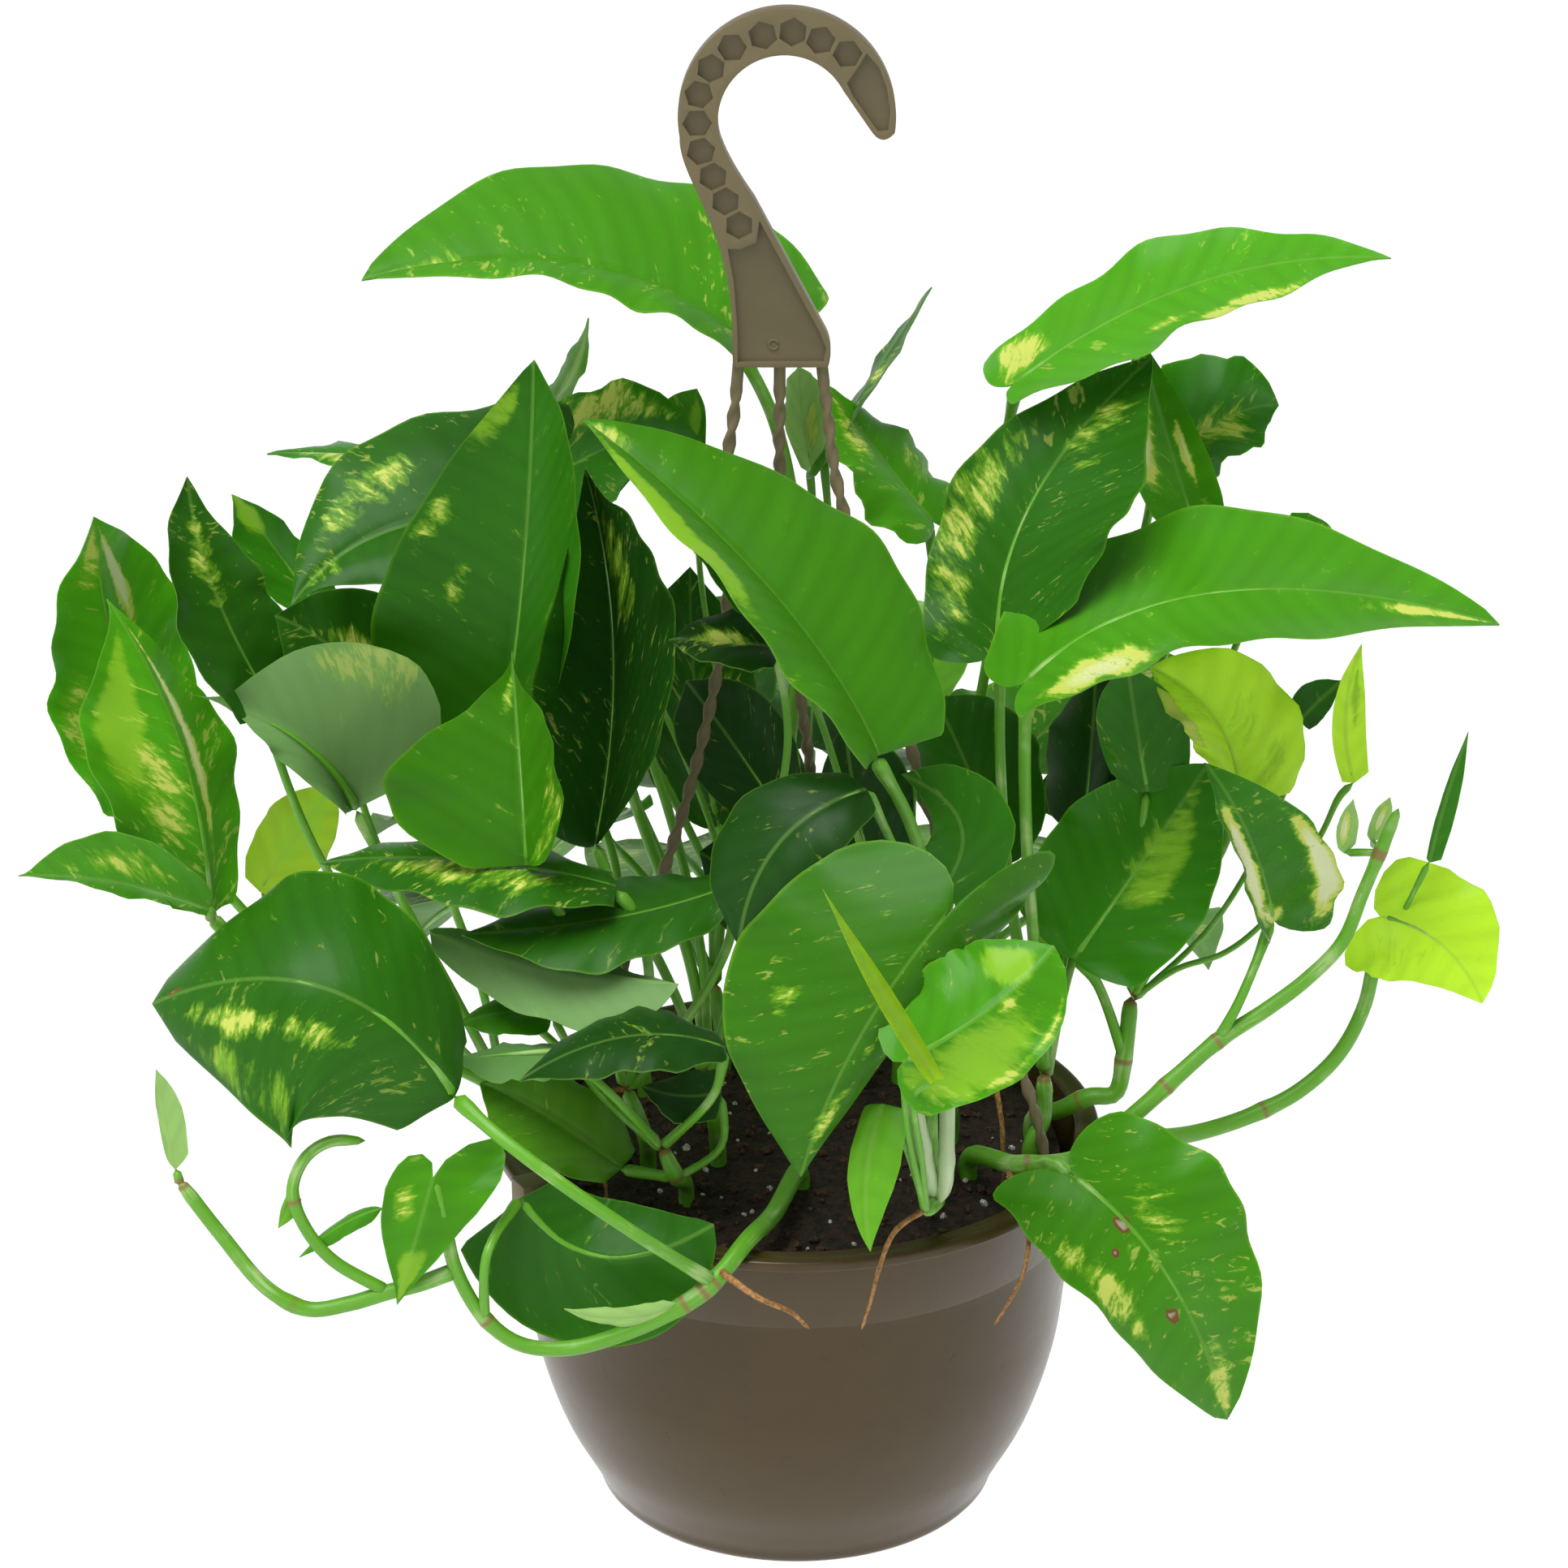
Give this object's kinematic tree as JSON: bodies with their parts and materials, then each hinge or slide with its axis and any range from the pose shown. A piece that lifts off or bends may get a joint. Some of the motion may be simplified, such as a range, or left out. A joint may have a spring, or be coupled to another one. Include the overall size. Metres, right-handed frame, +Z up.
{
  "type": "potted pothos plant",
  "caption": "Pothos in a round hanging pot with soil, hung from a moulded plastic hook and strands; heart-shaped variegated leaves on stalks and trailing stems.",
  "frame": {"origin": "crown of the hook's inside, the point that the pot hangs from", "axes": "+Z up, +Y away from the pictured front, +X to its right"},
  "size_m": [0.4763, 0.3549, 0.5036],
  "materials": {
    "pot_plastic": "semi-gloss taupe brown",
    "hanger_plastic": "satin taupe brown",
    "soil": "crumbly dark potting soil",
    "foliage": "waxy green leaves with cream and lime marks"
  },
  "bodies": {
    "root": {"pot": "pot_plastic", "soil": "soil", "hanger": "hanger_plastic", "vine_front_left": "foliage", "vine_right": "foliage", "vine_right_back": "foliage", "stem_right": "foliage", "stem_centre": "foliage", "stem_front": "foliage", "stem_left": "foliage", "stem_left_low": "foliage", "stem_far_left": "foliage", "stem_front_left": "foliage", "stem_back_left": "foliage", "stem_back_right": "foliage", "stem_far_1": "foliage", "stem_far_2": "foliage", "stem_far_3": "foliage", "stem_far_4": "foliage"}
  },
  "joints": []
}
